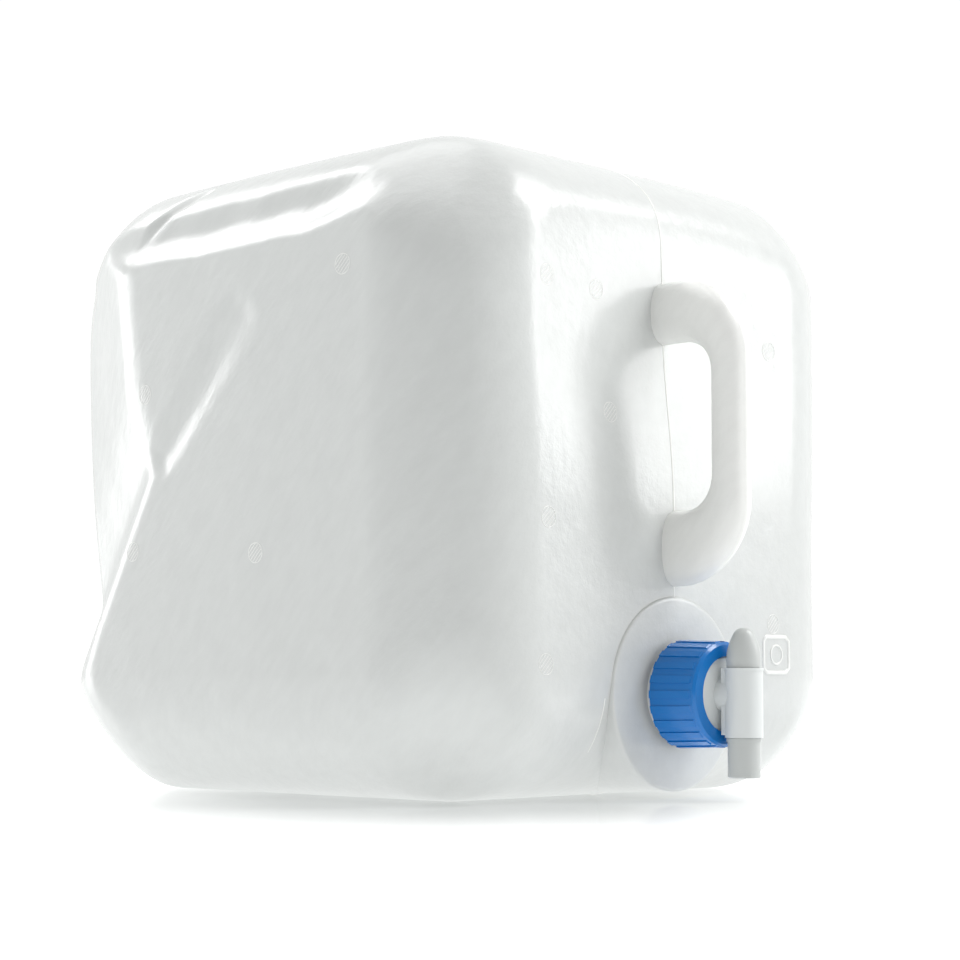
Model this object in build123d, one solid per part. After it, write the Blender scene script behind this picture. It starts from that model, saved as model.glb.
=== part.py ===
"""Collapsible water cube: a thin blow-moulded jerry can with a loop handle, a threaded neck low on its
front face, and a plug tap held on the neck by a screw collar.

Millimetres. +Z up, +Y to the back, the tap and the handle on the -Y face. The origin is the centre of the
face that the can stands on.
"""

import math
import os

from build123d import *

# The moulded can
WIDTH = 286.0  # along X and along Y
HEIGHT = 290.0
EDGE_RADIUS = 54.0
WALL = 0.8
FRONT_Y = -WIDTH / 2

# The flat disc that the neck stands on, proud of the front wall
NECK_Z = 47.0
DISC_RADIUS = 44.0
DISC_PROUD = 1.0
DISC_DEPTH = 42.0  # how far the disc's rim runs back into the rounded bottom edge

# The neck, measured outward from the disc's face
NECK_LENGTH = 22.0
NECK_RADIUS = 19.5
NECK_BORE = 16.5
NECK_FOOT_RADIUS = 20.6
NECK_FOOT_LENGTH = 2.0

# The screw thread: one start, right hand
PITCH = 5.0
THREAD_BURY = 0.5  # how far a thread's root is sunk in its wall
NECK_THREAD_CREST = 21.2
NECK_THREAD_START = 8.0
NECK_THREAD_TURNS = 1.75
COLLAR_THREAD_CREST = 20.1
COLLAR_THREAD_TURNS = 1.25

# The collar
COLLAR_LENGTH = 24.5
COLLAR_BORE = 21.9
COLLAR_BACK_RADIUS = 23.9
COLLAR_FRONT_RADIUS = 23.1
COLLAR_END_WALL = 2.5
COLLAR_HOLE = 16.8
COLLAR_CHAMFER = 1.1
RIB_COUNT = 22
RIB_WIDTH = 3.4
RIB_PROUD = 0.45
RIB_MARGIN = 2.2  # plain band left at the front end of the skirt

# The seal and the tap's flange, stacked on the neck's lip
WASHER_THICKNESS = 2.0
WASHER_RADIUS = 19.4
WASHER_BORE = 14.0
FLANGE_THICKNESS = 2.0
FLANGE_RADIUS = 19.8
HUB_THICKNESS = 1.3
HUB_RADIUS = 16.2
TUBE_RADIUS = 7.7
WATERWAY_RADIUS = 4.6

# The tap's upright barrel and the plug that turns in it
BARREL_Y = -182.0
BARREL_RADIUS = 8.4
BARREL_BORE = 7.35
BARREL_BOTTOM_Z = 28.0
BARREL_TOP_Z = 58.7
BARREL_RIM_RADIUS = 8.65
BARREL_RIM_HEIGHT = 1.3
WEB_WIDTH = 12.0
WEB_BACK_Y = -174.0
WEB_BOTTOM_Z = 29.2
PLUG_RADIUS = 7.3
SPOUT_RADIUS = 7.25
SPOUT_BOTTOM_Z = 10.3
SPOUT_CHAMFER = 0.5
BEAD_RADIUS = 7.7
BEAD_HEIGHT = 1.4
BEAD_GAP = 0.3
PORT_RADIUS = 4.0
WATERWAY_ROOF = 6.0  # solid plug above the waterway's axis
KNOB_RADIUS = 7.7
KNOB_TOP_Z = 76.3
KNOB_GAP = 0.2
KNOB_STRAIGHT = 2.0

# The handle: a loop in the plane X = 0, standing out from the front wall
HANDLE_TOP_Z = 233.0
HANDLE_BOTTOM_Z = 99.0
HANDLE_REACH = 41.5
HANDLE_CORNER = 30.0
HANDLE_THICKNESS = 17.0
HANDLE_ROUNDING = 8.0
GRIP_DEPTH = 17.0
OPENING_TOP_Z = 208.5
OPENING_BOTTOM_Z = 126.5
OPENING_CORNER = 12.0

DISC_Y = FRONT_Y - DISC_PROUD
LIP_Y = DISC_Y - NECK_LENGTH
WASHER_FRONT_Y = LIP_Y - WASHER_THICKNESS
FLANGE_FRONT_Y = WASHER_FRONT_Y - FLANGE_THICKNESS
COLLAR_FRONT_Y = FLANGE_FRONT_Y - COLLAR_END_WALL
COLLAR_BACK_Y = COLLAR_FRONT_Y + COLLAR_LENGTH


def neck_plane(y):
    """A plane square to the neck's axis at y, facing outward, with its own Y up."""
    return Plane(origin=(0, y, NECK_Z), x_dir=(1, 0, 0), z_dir=(0, -1, 0))


def on_neck(shape, y):
    """A shape made about its own Z axis, put on the neck's axis with its base at y."""
    return neck_plane(y).location * shape


def disc(radius, back_y, front_y):
    """A cylinder on the neck's axis from back_y out to front_y."""
    upright = Cylinder(radius, back_y - front_y, align=(Align.CENTER, Align.CENTER, Align.MIN))
    return on_neck(upright, back_y)


def post(radius, low_z, high_z):
    """A cylinder on the barrel's axis."""
    upright = Cylinder(radius, high_z - low_z, align=(Align.CENTER, Align.CENTER, Align.MIN))
    return Pos(0, BARREL_Y, low_z) * upright


def helical_thread(wall_radius, crest_radius, root_width, crest_width, start, turns):
    """A screw thread about the Z axis. The crest may lie either side of its wall, for a male or female one."""
    outward = 1 if crest_radius > wall_radius else -1
    root_radius = wall_radius - outward * THREAD_BURY
    path = Pos(0, 0, start) * Helix(PITCH, PITCH * turns, (root_radius + crest_radius) / 2)
    section = Plane.XZ * Polygon(
        (root_radius, start - root_width / 2),
        (crest_radius, start - crest_width / 2),
        (crest_radius, start + crest_width / 2),
        (root_radius, start + root_width / 2),
        align=None,
    )
    return sweep(section, path=path, is_frenet=True)


def rounded_can(inset):
    """The can's rounded block, every face brought in by inset."""
    block = Pos(0, 0, HEIGHT / 2) * Box(WIDTH - 2 * inset, WIDTH - 2 * inset, HEIGHT - 2 * inset)
    return fillet(block.edges(), EDGE_RADIUS - inset)


def make_container_shell():
    """The thin can, open at the neck."""
    outside = rounded_can(0) + disc(DISC_RADIUS, DISC_Y + DISC_DEPTH, DISC_Y)
    inside = rounded_can(WALL) + disc(DISC_RADIUS - WALL, DISC_Y + DISC_DEPTH, DISC_Y + WALL)
    mouth = disc(NECK_BORE, DISC_Y + 2 * WALL, DISC_Y - WALL)
    return outside - inside - mouth


def make_threaded_neck():
    """The stiff neck that is moulded on the can's disc."""
    tube = disc(NECK_RADIUS, DISC_Y, LIP_Y) + disc(NECK_FOOT_RADIUS, DISC_Y, DISC_Y - NECK_FOOT_LENGTH)
    thread = helical_thread(NECK_RADIUS, NECK_THREAD_CREST, 3.0, 1.6, NECK_THREAD_START, NECK_THREAD_TURNS)
    return tube + on_neck(thread, DISC_Y) - disc(NECK_BORE, DISC_Y, LIP_Y)


def make_carry_handle():
    """The loop handle: a rounded plate with the grip opening cut through it."""
    depth_plane = Plane.YZ
    reach_y = FRONT_Y - HANDLE_REACH
    outline = depth_plane * Polyline(
        (FRONT_Y, HANDLE_BOTTOM_Z),
        (reach_y, HANDLE_BOTTOM_Z),
        (reach_y, HANDLE_TOP_Z),
        (FRONT_Y, HANDLE_TOP_Z),
        (FRONT_Y, HANDLE_BOTTOM_Z),
    )
    plate = extrude(make_face(outline), HANDLE_THICKNESS / 2, both=True)
    far_corners = plate.edges().filter_by(Axis.X).group_by(Axis.Y)[0]
    plate = fillet(far_corners, HANDLE_CORNER)
    grip_y = reach_y + GRIP_DEPTH
    mouth = depth_plane * Polyline(
        (FRONT_Y, OPENING_BOTTOM_Z),
        (grip_y, OPENING_BOTTOM_Z),
        (grip_y, OPENING_TOP_Z),
        (FRONT_Y, OPENING_TOP_Z),
        (FRONT_Y, OPENING_BOTTOM_Z),
    )
    opening = extrude(make_face(mouth), HANDLE_THICKNESS, both=True)
    inner_corners = opening.edges().filter_by(Axis.X).group_by(Axis.Y)[0]
    opening = fillet(inner_corners, OPENING_CORNER)
    loop = plate - opening
    rims = [e for e in loop.edges() if abs(abs(e.center().X) - HANDLE_THICKNESS / 2) < 0.01]
    rims = [e for e in rims if e.center().Y < FRONT_Y - 0.01]
    return fillet(rims, HANDLE_ROUNDING)


def make_screw_collar():
    """The ribbed collar, with a female thread and a hole in its end wall."""
    body = on_neck(
        Cone(COLLAR_BACK_RADIUS, COLLAR_FRONT_RADIUS, COLLAR_LENGTH, align=(Align.CENTER, Align.CENTER, Align.MIN)),
        COLLAR_BACK_Y,
    )
    body = chamfer(body.edges().sort_by(Axis.Y)[0], COLLAR_CHAMFER)
    rib_length = COLLAR_LENGTH - RIB_MARGIN
    slope = (COLLAR_BACK_RADIUS - COLLAR_FRONT_RADIUS) / COLLAR_LENGTH
    front_radius = COLLAR_BACK_RADIUS - slope * rib_length
    rib_side = Plane.XZ * Polygon(
        (COLLAR_BACK_RADIUS - 1, 0),
        (COLLAR_BACK_RADIUS + RIB_PROUD, 0),
        (front_radius + RIB_PROUD, rib_length - RIB_PROUD),
        (front_radius - 0.1, rib_length),
        (front_radius - 1, rib_length),
        align=None,
    )
    rib = extrude(rib_side, RIB_WIDTH / 2, both=True)
    ribs = [Rot(0, 0, 360 * i / RIB_COUNT) * rib for i in range(RIB_COUNT)]
    body += [on_neck(r, COLLAR_BACK_Y) for r in ribs]
    body -= disc(COLLAR_BORE, COLLAR_BACK_Y, FLANGE_FRONT_Y)
    body -= disc(COLLAR_HOLE, COLLAR_BACK_Y, COLLAR_FRONT_Y)
    start = NECK_THREAD_START + PITCH / 2 - (DISC_Y - COLLAR_BACK_Y)
    thread = helical_thread(COLLAR_BORE, COLLAR_THREAD_CREST, 2.2, 1.0, start, COLLAR_THREAD_TURNS)
    return body + on_neck(thread, COLLAR_BACK_Y)


def make_neck_washer():
    """The flat rubber seal between the neck's lip and the tap's flange."""
    return disc(WASHER_RADIUS, LIP_Y, WASHER_FRONT_Y) - disc(WASHER_BORE, LIP_Y, WASHER_FRONT_Y)


def make_tap_body():
    """The tap's flange, its short tube and the upright barrel, in one moulding."""
    hub_front_y = FLANGE_FRONT_Y - HUB_THICKNESS
    body = disc(FLANGE_RADIUS, WASHER_FRONT_Y, FLANGE_FRONT_Y)
    body += disc(HUB_RADIUS, FLANGE_FRONT_Y, hub_front_y)
    body += disc(TUBE_RADIUS, FLANGE_FRONT_Y, BARREL_Y)
    web_height = BARREL_TOP_Z - WEB_BOTTOM_Z
    body += Pos(0, (WEB_BACK_Y + BARREL_Y) / 2, WEB_BOTTOM_Z + web_height / 2) * Box(
        WEB_WIDTH, WEB_BACK_Y - BARREL_Y, web_height
    )
    body += post(BARREL_RADIUS, BARREL_BOTTOM_Z, BARREL_TOP_Z)
    body += post(BARREL_RIM_RADIUS, BARREL_TOP_Z - BARREL_RIM_HEIGHT, BARREL_TOP_Z)
    body -= disc(WATERWAY_RADIUS, WASHER_FRONT_Y, BARREL_Y)
    return body - post(BARREL_BORE, BARREL_BOTTOM_Z, BARREL_TOP_Z)


def make_tap_plug():
    """The turning plug: knob above, waterway inside, spout below. Its port faces +X, which is shut."""
    knob_base_z = BARREL_TOP_Z + KNOB_GAP
    shoulder_z = knob_base_z + KNOB_STRAIGHT
    bead_top_z = BARREL_BOTTOM_Z - BEAD_GAP
    bead_bottom_z = bead_top_z - BEAD_HEIGHT
    roof_z = NECK_Z + WATERWAY_ROOF
    sides = Polyline(
        (0, KNOB_TOP_Z),
        (0, roof_z),
        (WATERWAY_RADIUS, roof_z),
        (WATERWAY_RADIUS, SPOUT_BOTTOM_Z),
        (SPOUT_RADIUS - SPOUT_CHAMFER, SPOUT_BOTTOM_Z),
        (SPOUT_RADIUS, SPOUT_BOTTOM_Z + SPOUT_CHAMFER),
        (SPOUT_RADIUS, bead_bottom_z),
        (BEAD_RADIUS, bead_bottom_z),
        (BEAD_RADIUS, bead_top_z),
        (PLUG_RADIUS, bead_top_z),
        (PLUG_RADIUS, knob_base_z),
        (KNOB_RADIUS, knob_base_z),
        (KNOB_RADIUS, shoulder_z),
    )
    half_way = math.sqrt(0.5)
    dome = Spline(
        (KNOB_RADIUS, shoulder_z),
        (KNOB_RADIUS * half_way, shoulder_z + (KNOB_TOP_Z - shoulder_z) * half_way),
        (0, KNOB_TOP_Z),
        tangents=[(0, 1), (-1, 0)],
    )
    plug = Pos(0, BARREL_Y, 0) * revolve(Plane.XZ * make_face(sides + dome), Axis.Z)
    port = Cylinder(PORT_RADIUS, 2 * PLUG_RADIUS, align=(Align.CENTER, Align.CENTER, Align.MIN))
    return plug - Pos(0, BARREL_Y, NECK_Z) * Rot(0, 90, 0) * port


PARTS = {
    "container_shell": make_container_shell,
    "threaded_neck": make_threaded_neck,
    "carry_handle": make_carry_handle,
    "neck_washer": make_neck_washer,
    "screw_collar": make_screw_collar,
    "tap_body": make_tap_body,
    "tap_plug": make_tap_plug,
}

os.makedirs("parts", exist_ok=True)
for name, make in PARTS.items():
    export_step(make(), f"parts/{name}.step")
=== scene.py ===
"""The looks of the collapsible water cube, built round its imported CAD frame.

Lengths in this script are in millimetres, in the CAD's frame, until to_metres() turns them into Blender's.
"""

import math

import bpy
import numpy as np
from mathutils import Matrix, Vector


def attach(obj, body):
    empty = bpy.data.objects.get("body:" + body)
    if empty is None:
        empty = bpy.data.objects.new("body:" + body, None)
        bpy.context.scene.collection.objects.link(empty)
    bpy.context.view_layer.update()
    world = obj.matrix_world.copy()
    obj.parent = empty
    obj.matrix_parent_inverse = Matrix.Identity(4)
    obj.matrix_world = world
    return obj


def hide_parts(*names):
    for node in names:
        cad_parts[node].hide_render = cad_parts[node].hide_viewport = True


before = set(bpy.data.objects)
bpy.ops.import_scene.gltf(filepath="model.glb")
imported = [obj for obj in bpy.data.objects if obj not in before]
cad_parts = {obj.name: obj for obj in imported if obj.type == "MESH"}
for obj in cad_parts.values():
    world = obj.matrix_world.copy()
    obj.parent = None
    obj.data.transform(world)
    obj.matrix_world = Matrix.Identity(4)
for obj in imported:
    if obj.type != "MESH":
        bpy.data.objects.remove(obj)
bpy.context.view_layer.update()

MM = 0.001

# The can's filled-out block, a little larger than the CAD's
HALF_SIZE = np.array([144.5, 146.5, 147.0])
MIDDLE = np.array([0.0, 3.5, 147.0])
EDGE_RADIUS = 55.0
CORNER_REACH = 207.0

# The neck, as the CAD has it
NECK_Z = 47.0
DISC_FACE_Y = -144.0
DISC_RADIUS = 44.0
NECK_BORE = 16.5

# The round mouth left open in the skin is this much wider than the neck's bore
MOUTH_GAP = 3.0

# The handle: its edges are outlines with rounded corners, and its section is a squarish oval
HANDLE_ROOT_Y = -120.0
HANDLE_HALF_WIDTH = 8.5
HANDLE_SQUARENESS = 0.9
HANDLE_SEAM = 0.5

# The mould's marks: vents as (y, z) on the left wall and (x, z) on the front wall, and a square stamp
WALL = -144.0
LEFT_VENTS = ((60, 188), (-75.5, 233), (-21, 110), (68, 114))
FRONT_VENTS = ((-82, 228), (-47, 226), (-41, 172), (76, 211), (-84, 123), (-86, 60), (75, 80))
VENT_RADIUS = 4.5
VENT_BAR_STEP = 1.5
STAMP_MIDDLE = (77.0, 65.5)
STAMP_HALF_SIZE = (10.0, 8.5)

# How bright the studio is on the camera's side and on the backdrop's
STUDIO_LIGHT = 0.44
BACKDROP_LIGHT = 1.0

# The camera's bearing round the can and its upward tilt, in degrees, and its place
CAMERA_BEARING = -45.33
CAMERA_TILT = 2.68
CAMERA_DISTANCE = 1116.0
CAMERA_HEIGHT = 52.9


def to_metres(points):
    """Points in millimetres as an array in metres."""
    return np.asarray(points, dtype=float) * MM


# ---------------------------------------------------------------- the skin's shape


def smooth_max(a, b, blend):
    """The larger of two distances, rounded over where they meet."""
    share = np.clip(0.5 + 0.5 * (a - b) / blend, 0, 1)
    return b + (a - b) * share + blend * share * (1 - share)


def smooth_min(a, b, blend):
    """The smaller of two distances, rounded over where they meet."""
    return -smooth_max(-a, -b, blend)


def smooth_step(value, low, high):
    """0 below low, 1 above high, and a smooth ramp between."""
    t = np.clip((value - low) / (high - low), 0, 1)
    return t * t * (3 - 2 * t)


def facet(points, a, b, c):
    """Signed distance from the plane through a, b and c, positive on the side away from the can's middle."""
    a, b, c = (np.array(v, dtype=float) for v in (a, b, c))
    normal = np.cross(b - a, c - a)
    normal /= np.linalg.norm(normal)
    if normal @ (MIDDLE - a) > 0:
        normal = -normal
    return (points - a) @ normal


def rounded_block(points):
    """Signed distance from the rounded block, its corners rounder than its edges except on the right."""
    beyond = np.abs(points - MIDDLE) - (HALF_SIZE - EDGE_RADIUS)
    outside = np.linalg.norm(np.maximum(beyond, 0), axis=1)
    inside = np.minimum(beyond.max(axis=1), 0)
    reach = CORNER_REACH + 12 * smooth_step(points[:, 0] - points[:, 1], 120, 230)
    corner = np.abs(points - MIDDLE).sum(axis=1) / math.sqrt(3) - reach
    return smooth_max(outside + inside - EDGE_RADIUS, corner, 16)


def groove(points, start, end, start_radius, end_radius):
    """Signed distance outside a round channel that tapers from start to end."""
    start, end = np.array(start, dtype=float), np.array(end, dtype=float)
    run = end - start
    share = np.clip((points - start) @ run / (run @ run), 0, 1)
    radius = start_radius + (end_radius - start_radius) * share
    return radius - np.linalg.norm(points - start - share[:, None] * run, axis=1)


def waves(points):
    """Slow unevenness of a film that was folded and opened out again."""
    x, y, z = points.T
    slow = np.sin(x / 31 + 1.3 * np.sin(z / 47)) * np.sin(y / 37 + 2.1) + np.sin(z / 29 + y / 53 + 0.7)
    quick = np.sin(x / 11 + y / 13 + 1.1 * np.sin(z / 17)) * np.sin(z / 15 - y / 19)
    return 0.3 * slow + 0.08 * quick


def skin_distance(points):
    """Signed distance from the can's skin, dents and folds included."""
    x, y, z = points.T
    flat = points.copy()
    # The front wall is drawn in above and behind the handle
    hollow = 6 * smooth_step(z, 130, 218) * (1 - smooth_step(z, 240, 280)) * np.clip(1 - (x / 120) ** 2, 0, 1)
    flat[:, 1] -= hollow * smooth_step(-y, 0, 120)
    # The top is slightly full
    fullness = (1 - (x / HALF_SIZE[0]) ** 2) * (1 - (y / HALF_SIZE[1]) ** 2)
    flat[:, 2] -= 3 * fullness * smooth_step(z, 150, 286)
    # The left wall bends in gently before its near edge
    flat[:, 0] -= 4 * smooth_step(-y, 0, 150) * smooth_step(-x, 40, 140)
    skin = rounded_block(flat)

    # The left wall's top edge has caved in above a sharp fold
    cave = np.maximum.reduce(
        [
            groove(points, (-158, 135, 262), (-152, 84, 266), 16, 16),
            groove(points, (-152, 84, 266), (-150, -45, 271), 16, 19),
            groove(points, (-150, -45, 271), (-146.5, -85, 277), 19, 17),
            groove(points, (-146.5, -85, 277), (-156, -122, 290), 17, 13),
        ]
    )
    ragged = 0.45 * np.sin(y / 13 + 0.6 * np.sin(z / 9)) + 0.2 * np.sin(y / 6 + z / 9 + 1)
    skin = smooth_max(skin, cave + ragged, 5)
    # A narrow diagonal crease crosses the far top corner
    crease = np.maximum(
        groove(points, (-150, 79, 252), (-134, 58, 279), 6.5, 7),
        groove(points, (-134, 58, 279), (-112, 36, 300), 7, 7),
    )
    skin = smooth_max(skin, crease, 2)
    # The far upright edge has buckled at mid height
    pinch = (-143.5, 55, 154)
    slanting = facet(points, pinch, (-143.5, 75, 192), (-121, 126, 155))
    upright = facet(points, (-143.5, 73, 192), (-143.5, 79, 240), (-121, 126, 165))
    lower = facet(points, pinch, (-143.5, 103, 68), (-116.5, 124, 98))
    buckle = smooth_min(smooth_max(slanting, upright, 2), lower, 3)
    skin = smooth_max(skin, buckle, 4)
    for start, end, start_radius, end_radius, blend in (
        # The far upright edge is drawn in above its buckle
        ((-152, 152, 175), (-146, 150, 245), 33, 30, 6),
        # A soft crease runs up the left wall from the buckle
        ((-152, 47, 158), (-168, -6, 216), 8.8, 23.4, 6),
        # The front wall is creased beside its far upright edge
        ((104, -165, 215), (97, -165, 40), 21.5, 21.5, 3),
        # A short sharp crease near the left wall's foot
        ((-148, -63, 68), (-148, -81, 32), 4.2, 4.6, 1.5),
    ):
        skin = smooth_max(skin, groove(points, start, end, start_radius, end_radius), blend)
    return skin + waves(points) * smooth_step(z, 0, 20)


def skin_normals(points, step=0.25):
    """Outward unit normals of the skin's distance field."""
    slopes = np.empty_like(points)
    for axis in range(3):
        shift = np.zeros(3)
        shift[axis] = step
        slopes[:, axis] = skin_distance(points + shift) - skin_distance(points - shift)
    return slopes / np.linalg.norm(slopes, axis=1)[:, None]


def onto_skin(points, rounds=8):
    """Points moved to the skin, along its slope."""
    points = np.array(points, dtype=float)
    for _ in range(rounds):
        points -= skin_distance(points)[:, None] * skin_normals(points)
    return points


# ---------------------------------------------------------------- mesh helpers


def add_mesh(name, points, faces, material, smooth=True):
    """A mesh object from points in millimetres."""
    mesh = bpy.data.meshes.new(name)
    mesh.from_pydata(to_metres(points).tolist(), [], faces)
    mesh.validate()
    mesh.update()
    if smooth:
        mesh.shade_smooth()
    mesh.materials.append(material)
    thing = bpy.data.objects.new(name, mesh)
    bpy.context.scene.collection.objects.link(thing)
    return thing


def grid_faces(rows, columns, closed=False):
    """Quads of a rows by columns grid of points, its columns joined end to end if closed."""
    across = columns if closed else columns - 1
    return [
        (
            r * columns + c,
            r * columns + (c + 1) % columns,
            (r + 1) * columns + (c + 1) % columns,
            (r + 1) * columns + c,
        )
        for r in range(rows - 1)
        for c in range(across)
    ]


def block_grid(segments):
    """Points and quads of a block whose six faces are grids joined at their edges."""
    steps = np.linspace(-1, 1, segments + 1)
    numbers = {}
    points = []
    faces = []

    def number(corner):
        key = tuple(np.round(corner, 6))
        if key not in numbers:
            numbers[key] = len(points)
            points.append(corner)
        return numbers[key]

    for axis in range(3):
        for side in (-1, 1):
            ids = np.empty((segments + 1, segments + 1), dtype=int)
            for i, u in enumerate(steps):
                for j, v in enumerate(steps):
                    corner = [0.0, 0.0, 0.0]
                    corner[axis] = side
                    corner[(axis + 1) % 3] = u
                    corner[(axis + 2) % 3] = v
                    ids[i, j] = number(corner)
            for i in range(segments):
                for j in range(segments):
                    quad = [ids[i, j], ids[i + 1, j], ids[i + 1, j + 1], ids[i, j + 1]]
                    faces.append([int(n) for n in (quad if side > 0 else quad[::-1])])
    return np.array(points) * HALF_SIZE + MIDDLE, faces


# ---------------------------------------------------------------- materials


def new_material(name):
    """An empty node material and its Principled shader."""
    material = bpy.data.materials.new(name)
    material.use_nodes = True
    return material, material.node_tree.nodes["Principled BSDF"]


def add_bump(links, bump, height, shader, strength, distance):
    """Lean the shader's normals by a height, over that distance in metres."""
    bump.inputs["Strength"].default_value = strength
    bump.inputs["Distance"].default_value = distance
    links.new(height, bump.inputs["Height"])
    links.new(bump.outputs["Normal"], shader.inputs["Normal"])


def film_material(name, colour):
    """Milky polyethylene film: crinkled, and glossy except where it is seen edge on."""
    material, shader = new_material(name)
    nodes, links = material.node_tree.nodes, material.node_tree.links
    shader.inputs["Roughness"].default_value = 0.23
    shader.inputs["IOR"].default_value = 1.5
    edge_on = nodes.new("ShaderNodeLayerWeight")
    gloss = nodes.new("ShaderNodeMapRange")
    gloss.interpolation_type = "SMOOTHSTEP"
    gloss.inputs["From Min"].default_value = 0.55
    gloss.inputs["To Min"].default_value = 0.5
    gloss.inputs["To Max"].default_value = 0.0
    links.new(edge_on.outputs["Facing"], gloss.inputs["Value"])
    links.new(gloss.outputs["Result"], shader.inputs["Specular IOR Level"])
    where = nodes.new("ShaderNodeTexCoord")
    slant = nodes.new("ShaderNodeMapping")
    slant.vector_type = "TEXTURE"
    slant.inputs["Rotation"].default_value = (math.radians(40), math.radians(15), 0)
    slant.inputs["Scale"].default_value = (1.2, 1, 3)
    crinkle = nodes.new("ShaderNodeTexNoise")
    crinkle.inputs["Scale"].default_value = 170
    crinkle.inputs["Detail"].default_value = 5
    crinkle.inputs["Roughness"].default_value = 0.62
    tone = nodes.new("ShaderNodeValToRGB")
    tone.color_ramp.elements[0].position = 0.35
    tone.color_ramp.elements[0].color = (*(c * 0.982 for c in colour), 1)
    tone.color_ramp.elements[1].position = 0.65
    tone.color_ramp.elements[1].color = (*(c * 1.018 for c in colour), 1)
    links.new(where.outputs["Object"], slant.inputs["Vector"])
    links.new(slant.outputs["Vector"], crinkle.inputs["Vector"])
    links.new(crinkle.outputs["Fac"], tone.inputs["Fac"])
    links.new(tone.outputs["Color"], shader.inputs["Base Color"])
    add_bump(links, nodes.new("ShaderNodeBump"), crinkle.outputs["Fac"], shader, 0.3, 0.001)
    return material


def plastic_material(name, colour, roughness, glow=0.0):
    """Plain moulded plastic with a faint orange-peel surface."""
    material, shader = new_material(name)
    nodes, links = material.node_tree.nodes, material.node_tree.links
    shader.inputs["Base Color"].default_value = (*colour, 1)
    shader.inputs["Roughness"].default_value = roughness
    shader.inputs["Subsurface Weight"].default_value = glow
    shader.inputs["Subsurface Radius"].default_value = (0.004, 0.004, 0.004)
    where = nodes.new("ShaderNodeTexCoord")
    grain = nodes.new("ShaderNodeTexNoise")
    grain.inputs["Scale"].default_value = 400
    links.new(where.outputs["Object"], grain.inputs["Vector"])
    add_bump(links, nodes.new("ShaderNodeBump"), grain.outputs["Fac"], shader, 0.08, 0.0003)
    return material


def floor_material():
    """A glossy white table over a light box. Camera rays see it dimmer in front of the can than it shines: a
    painted shadow in front of the can.
    """
    material, shader = new_material("white_table")
    nodes, links = material.node_tree.nodes, material.node_tree.links
    shader.inputs["Base Color"].default_value = (0.55, 0.56, 0.56, 1)
    shader.inputs["Roughness"].default_value = 0.1
    shader.inputs["Specular IOR Level"].default_value = 0.7
    shader.inputs["Emission Color"].default_value = (1, 1, 1, 1)
    where = nodes.new("ShaderNodeTexCoord")
    # Painted shadow: camera rays see the table's glow dimmed in a patch centred in front of the can
    painted_shadow_centre = nodes.new("ShaderNodeMapping")
    painted_shadow_centre.vector_type = "TEXTURE"
    painted_shadow_centre.inputs["Location"].default_value = (-0.07, -0.07, 0)
    painted_shadow_centre.inputs["Rotation"].default_value = (0, 0, math.radians(45))
    painted_shadow_centre.inputs["Scale"].default_value = (1, 0.75, 1)
    distance = nodes.new("ShaderNodeVectorMath")
    distance.operation = "LENGTH"
    seen = nodes.new("ShaderNodeMapRange")
    seen.interpolation_type = "SMOOTHSTEP"
    seen.inputs["From Min"].default_value = 0.09
    seen.inputs["From Max"].default_value = 0.36
    seen.inputs["To Min"].default_value = 0.0
    seen.inputs["To Max"].default_value = 0.9
    path = nodes.new("ShaderNodeLightPath")
    glow = nodes.new("ShaderNodeMapRange")
    glow.inputs["To Min"].default_value = 0.75
    links.new(where.outputs["Object"], painted_shadow_centre.inputs["Vector"])
    links.new(painted_shadow_centre.outputs["Vector"], distance.inputs[0])
    links.new(distance.outputs["Value"], seen.inputs["Value"])
    links.new(path.outputs["Is Camera Ray"], glow.inputs["Value"])
    links.new(seen.outputs["Result"], glow.inputs["To Max"])
    links.new(glow.outputs["Result"], shader.inputs["Emission Strength"])
    return material


film = film_material("milky_film", (0.575, 0.59, 0.58))
# A lighter copy of the milky film, with painted light: it brightens the handle, neck, parting line and mould
# marks, which render darker with the plain film
painted_light_film = film_material("milky_painted_light_film", (0.75, 0.755, 0.735))
collar_blue = plastic_material("collar_blue", (0.0, 0.15, 0.48), 0.2)
tap_white = plastic_material("tap_white", (0.66, 0.685, 0.68), 0.35, glow=0.2)
plug_white = plastic_material("plug_white", (0.5, 0.52, 0.51), 0.35, glow=0.2)
seal_rubber = plastic_material("seal_rubber", (0.7, 0.7, 0.68), 0.6)

# ---------------------------------------------------------------- the can


def onto_plain_block(points):
    """Points of the box round the can, moved straight in to the rounded block without its dents."""
    core = np.clip(points - MIDDLE, EDGE_RADIUS - HALF_SIZE, HALF_SIZE - EDGE_RADIUS)
    away = points - MIDDLE - core
    return MIDDLE + core + EDGE_RADIUS * away / np.linalg.norm(away, axis=1)[:, None]


def make_skin():
    """The can's film, open at the neck."""
    points, faces = block_grid(170)
    points = onto_skin(onto_plain_block(points), rounds=8)
    beside_neck = np.hypot(points[:, 0], points[:, 2] - NECK_Z) < NECK_BORE + MOUTH_GAP
    in_mouth = beside_neck & (points[:, 1] < -100)
    faces = [f for f in faces if not any(in_mouth[n] for n in f)]
    skin = add_mesh("can_skin", points, faces, film)
    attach(skin, "container")
    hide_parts("container_shell")


def ring_about_neck(profile, segments=128):
    """Points and quads of (radius, y) pairs turned about the neck's axis."""
    points = [
        (radius * math.cos(turn), y, NECK_Z + radius * math.sin(turn))
        for radius, y in profile
        for turn in np.linspace(0, 2 * math.pi, segments, endpoint=False)
    ]
    return points, grid_faces(len(profile), segments, closed=True)


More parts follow.
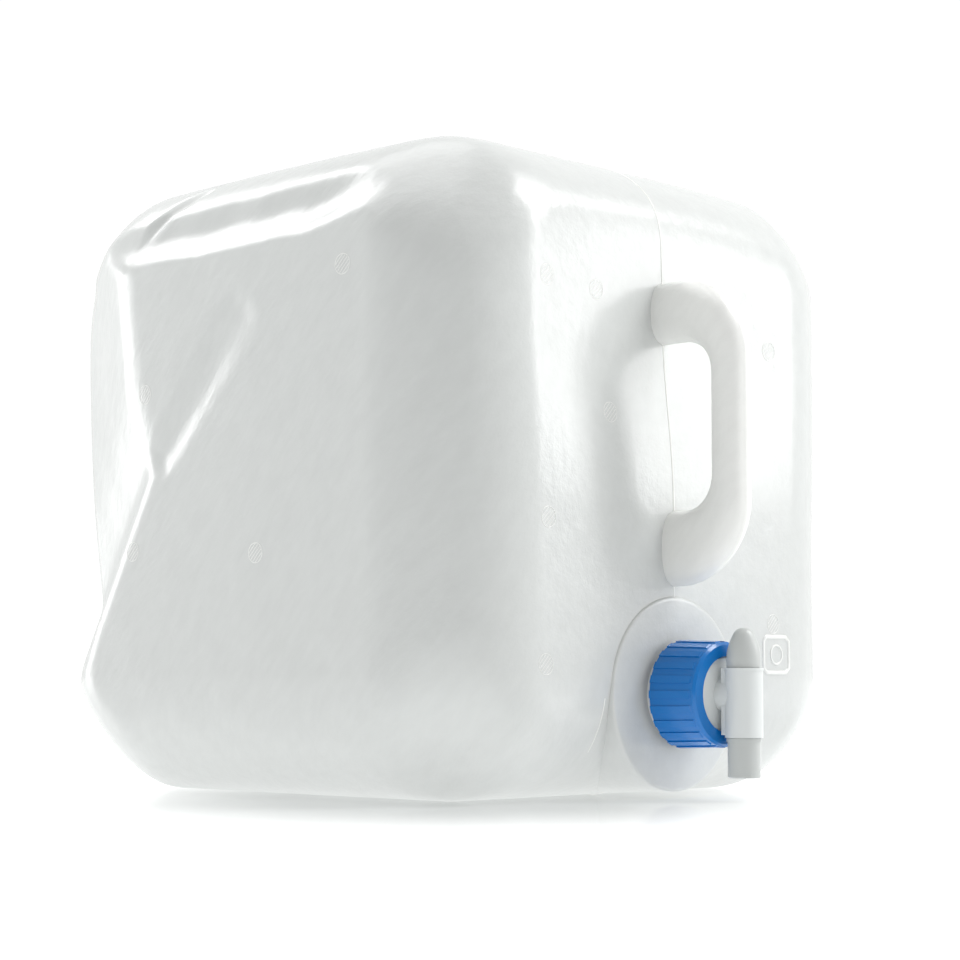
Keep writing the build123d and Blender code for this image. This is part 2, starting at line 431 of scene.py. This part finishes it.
def make_neck_disc():
    """The flat disc round the neck."""
    profile = [
        (NECK_BORE, -139),
        (NECK_BORE, DISC_FACE_Y),
        (NECK_BORE + 1, DISC_FACE_Y),
        (DISC_RADIUS - 2, DISC_FACE_Y),
        (DISC_RADIUS - 1, DISC_FACE_Y + 0.05),
        (DISC_RADIUS - 0.3, DISC_FACE_Y + 0.3),
        (DISC_RADIUS, DISC_FACE_Y + 1),
        (DISC_RADIUS + 0.1, DISC_FACE_Y + 3),
        (DISC_RADIUS + 1.5, -102),
    ]
    points, faces = ring_about_neck(profile)
    disc = add_mesh("neck_disc", points, faces, film)
    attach(disc, "container")


def handle_outline(top, bottom, reach, corner, stations):
    """(y, z) points spread evenly along one edge of the handle: out, round two corners and back."""
    quarter = np.linspace(0, math.pi / 2, 24)
    upper = [(reach + corner - corner * math.sin(a), top - corner + corner * math.cos(a)) for a in quarter]
    lower = [(reach + corner - corner * math.cos(a), bottom + corner - corner * math.sin(a)) for a in quarter]
    route = np.array([(HANDLE_ROOT_Y, top), *upper, *lower, (HANDLE_ROOT_Y, bottom)])
    along = np.concatenate([[0], np.cumsum(np.linalg.norm(np.diff(route, axis=0), axis=1))])
    even = np.linspace(0, along[-1], stations)
    return np.stack([np.interp(even, along, route[:, i]) for i in (0, 1)], axis=1)


def make_handle():
    """The loop handle, its legs let into the wall."""
    stations = 140
    outer = handle_outline(top=234, bottom=96, reach=-184.5, corner=37, stations=stations)
    inner = handle_outline(top=206.5, bottom=129.5, reach=-167.5, corner=17, stations=stations)
    around = 48
    points = []
    for rim, heart in zip(outer, inner):
        centre = (rim + heart) / 2
        arm = (rim - heart) / 2
        for turn in np.linspace(0, 2 * math.pi, around, endpoint=False):
            seam = HANDLE_SEAM * math.exp(-((math.sin(turn) / 0.1) ** 2)) / np.linalg.norm(arm)
            across = math.copysign(abs(math.cos(turn)) ** HANDLE_SQUARENESS, math.cos(turn)) * (1 + seam)
            squared = math.copysign(abs(math.sin(turn)) ** HANDLE_SQUARENESS, math.sin(turn))
            sideways = squared * HANDLE_HALF_WIDTH
            y, z = centre + arm * across
            points.append((sideways, y, z))
    handle = add_mesh("handle_loop", points, grid_faces(stations, around, closed=True), painted_light_film)
    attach(handle, "container")
    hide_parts("carry_handle")


def bead_on_skin(route, half_width, proud, closed=False):
    """Points and quads of a thin raised line that follows a route near the skin."""
    route = onto_skin(route)
    outward = skin_normals(route)
    along = np.roll(route, -1, axis=0) - np.roll(route, 1, axis=0)
    if not closed:
        along[0], along[-1] = route[1] - route[0], route[-1] - route[-2]
    sideways = np.cross(along, outward)
    sideways /= np.linalg.norm(sideways, axis=1)[:, None]
    rows = [
        route + sideways * half_width * share + outward * height
        for share, height in ((-1, -0.12), (-0.5, proud), (0.5, proud), (1, -0.12))
    ]
    points = np.stack(rows, axis=0).reshape(-1, 3)
    return points, grid_faces(4, len(route), closed=closed)


def join_parts(parts):
    """One list of points and one of faces from several (points, faces) pairs."""
    points, faces = [], []
    for part_points, part_faces in parts:
        faces += [[n + len(points) for n in face] for face in part_faces]
        points += [list(point) for point in part_points]
    return points, faces


def make_parting_line():
    """The mould's parting line, a thin bead round the can in the plane X = 0."""
    turns = np.linspace(0, 2 * math.pi, 600, endpoint=False)
    around = [(0, 150 * math.cos(t), 146 + 150 * math.sin(t)) for t in turns]
    points, faces = bead_on_skin(around, 0.7, 0.25, closed=True)
    bead = add_mesh("parting_line", points, faces, painted_light_film)
    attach(bead, "container")


def vent_mark(centre, right):
    """A small ring of thin line with slanting bars inside it, as a mould's vent leaves."""
    centre, right, up = np.array(centre, dtype=float), np.array(right, dtype=float), np.array((0, 0, 1.0))
    turns = np.linspace(0, 2 * math.pi, 28, endpoint=False)
    ring = [centre + VENT_RADIUS * (math.cos(t) * right + math.sin(t) * up) for t in turns]
    strokes = [bead_on_skin(ring, 0.22, 0.12, closed=True)]
    bar_way = (right + up) / math.sqrt(2)
    bar_step = (right - up) / math.sqrt(2)
    for offset in np.arange(-2, 3) * VENT_BAR_STEP:
        reach = math.sqrt(VENT_RADIUS**2 - offset**2) - 0.4
        bar = [centre + offset * bar_step + share * reach * bar_way for share in np.linspace(-1, 1, 7)]
        strokes.append(bead_on_skin(bar, 0.2, 0.12))
    return strokes


def make_mould_marks():
    """Vent marks on the left and front walls, a square stamp and a short line low on the front wall."""
    strokes = []
    for y, z in LEFT_VENTS:
        strokes += vent_mark((WALL, y, z), (0, -1, 0))
    for x, z in FRONT_VENTS:
        strokes += vent_mark((x, WALL, z), (1, 0, 0))
    stamp_x, stamp_z = STAMP_MIDDLE
    half_x, half_z = STAMP_HALF_SIZE
    corners = [
        (stamp_x + side * half_x, stamp_z + rise * half_z)
        for side, rise in ((-1, -1), (1, -1), (1, 1), (-1, 1))
    ]
    frame_route = [
        (x0 + (x1 - x0) * share, WALL, z0 + (z1 - z0) * share)
        for (x0, z0), (x1, z1) in zip(corners, corners[1:] + corners[:1])
        for share in (0.12, 0.37, 0.63, 0.88)
    ]
    strokes.append(bead_on_skin(frame_route, 1.1, 0.5, closed=True))
    turns = np.linspace(0, 2 * math.pi, 24, endpoint=False)
    ring = [(stamp_x + 4.5 * math.cos(t), WALL, stamp_z + 4.5 * math.sin(t)) for t in turns]
    strokes.append(bead_on_skin(ring, 0.6, 0.4, closed=True))
    foot_line = [(-47, WALL, z) for z in np.linspace(12, 45, 12)]
    strokes.append(bead_on_skin(foot_line, 0.4, 0.2))
    points, faces = join_parts(strokes)
    marks = add_mesh("mould_marks", points, faces, painted_light_film)
    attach(marks, "container")


make_skin()
make_neck_disc()
make_handle()
make_parting_line()
make_mould_marks()

# The threaded neck takes the lighter copy of the film, whose extra brightness is painted light
for name, material in {
    "threaded_neck": painted_light_film,
    "neck_washer": seal_rubber,
    "screw_collar": collar_blue,
    "tap_body": tap_white,
    "tap_plug": plug_white,
}.items():
    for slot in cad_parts[name].material_slots:
        slot.material = material

# ---------------------------------------------------------------- the floor, the lights and the camera


def make_floor():
    """A wide white table."""
    half = 6000
    corners = [(-half, -half, 0), (half, -half, 0), (half, half, 0), (-half, half, 0)]
    floor = add_mesh("floor", corners, [(0, 1, 2, 3)], floor_material(), smooth=False)


def make_softbox(name, place, target, width, height, radiance, roll=0):
    """A rectangular light that faces its target and shines with that radiance."""
    light = bpy.data.lights.new(name, "AREA")
    light.shape = "RECTANGLE"
    light.size = width * MM
    light.size_y = height * MM
    light.energy = radiance * math.pi * light.size * light.size_y
    lamp = bpy.data.objects.new(name, light)
    lamp.location = Vector(place) * MM
    lamp.rotation_euler = (Vector(target) - Vector(place)).to_track_quat("-Z", "Y").to_euler()
    lamp.rotation_euler.rotate_axis("Z", math.radians(roll))
    lamp.visible_camera = False
    bpy.context.scene.collection.objects.link(lamp)


def make_world():
    """A white backdrop, with a darker studio on the camera's side that only the can and the table see."""
    world = bpy.data.worlds.new("studio")
    bpy.context.scene.world = world
    world.use_nodes = True
    nodes, links = world.node_tree.nodes, world.node_tree.links
    seen = nodes["Background"]
    seen.inputs["Color"].default_value = (1, 1, 1, 1)
    seen.inputs["Strength"].default_value = 1.05
    lit = nodes.new("ShaderNodeBackground")
    lit.inputs["Color"].default_value = (1, 1, 1, 1)
    where = nodes.new("ShaderNodeTexCoord")
    towards_backdrop = nodes.new("ShaderNodeVectorMath")
    towards_backdrop.operation = "DOT_PRODUCT"
    towards_backdrop.inputs[1].default_value = (0.71, 0.70, 0)
    strength = nodes.new("ShaderNodeMapRange")
    strength.inputs["From Min"].default_value = -1
    strength.inputs["To Min"].default_value = STUDIO_LIGHT
    strength.inputs["To Max"].default_value = BACKDROP_LIGHT
    path = nodes.new("ShaderNodeLightPath")
    mix = nodes.new("ShaderNodeMixShader")
    links.new(where.outputs["Generated"], towards_backdrop.inputs[0])
    links.new(towards_backdrop.outputs["Value"], strength.inputs["Value"])
    links.new(strength.outputs["Result"], lit.inputs["Strength"])
    links.new(path.outputs["Is Camera Ray"], mix.inputs["Fac"])
    links.new(lit.outputs["Background"], mix.inputs[1])
    links.new(seen.outputs["Background"], mix.inputs[2])
    links.new(mix.outputs["Shader"], nodes["World Output"].inputs["Surface"])


def make_camera():
    """The photograph's view: low, level with the tap, looking at the can's near upright edge."""
    camera = bpy.data.cameras.new("camera")
    camera.lens = 84.15
    camera.sensor_width = 36
    camera.shift_x = 0.0317
    camera.shift_y = 0.1
    camera.clip_start = 0.05
    eye = bpy.data.objects.new("camera", camera)
    bearing = math.radians(CAMERA_BEARING)
    across, back = math.sin(bearing) * CAMERA_DISTANCE, -math.cos(bearing) * CAMERA_DISTANCE
    eye.location = Vector((across, back, CAMERA_HEIGHT)) * MM
    eye.rotation_euler = (math.radians(90 + CAMERA_TILT), 0, bearing)
    bpy.context.scene.collection.objects.link(eye)
    bpy.context.scene.camera = eye


make_floor()
make_world()
make_softbox("top_softbox", (-250, 300, 1300), (0, 0, 0), 1000, 1000, 2.0)
make_softbox("right_softbox", (894, -925, 600), (0, -140, 190), 230, 800, 7, roll=14)
make_softbox("upper_right_softbox", (570, -640, 1130), (0, -140, 250), 360, 700, 11, roll=14)
make_softbox("back_softbox", (-450, 1300, 300), (-140, 100, 150), 500, 700, 4.5)
make_softbox("left_softbox", (-270, 960, 1130), (-140, 20, 260), 700, 380, 5)
make_camera()
bpy.context.scene.view_settings.view_transform = "Standard"
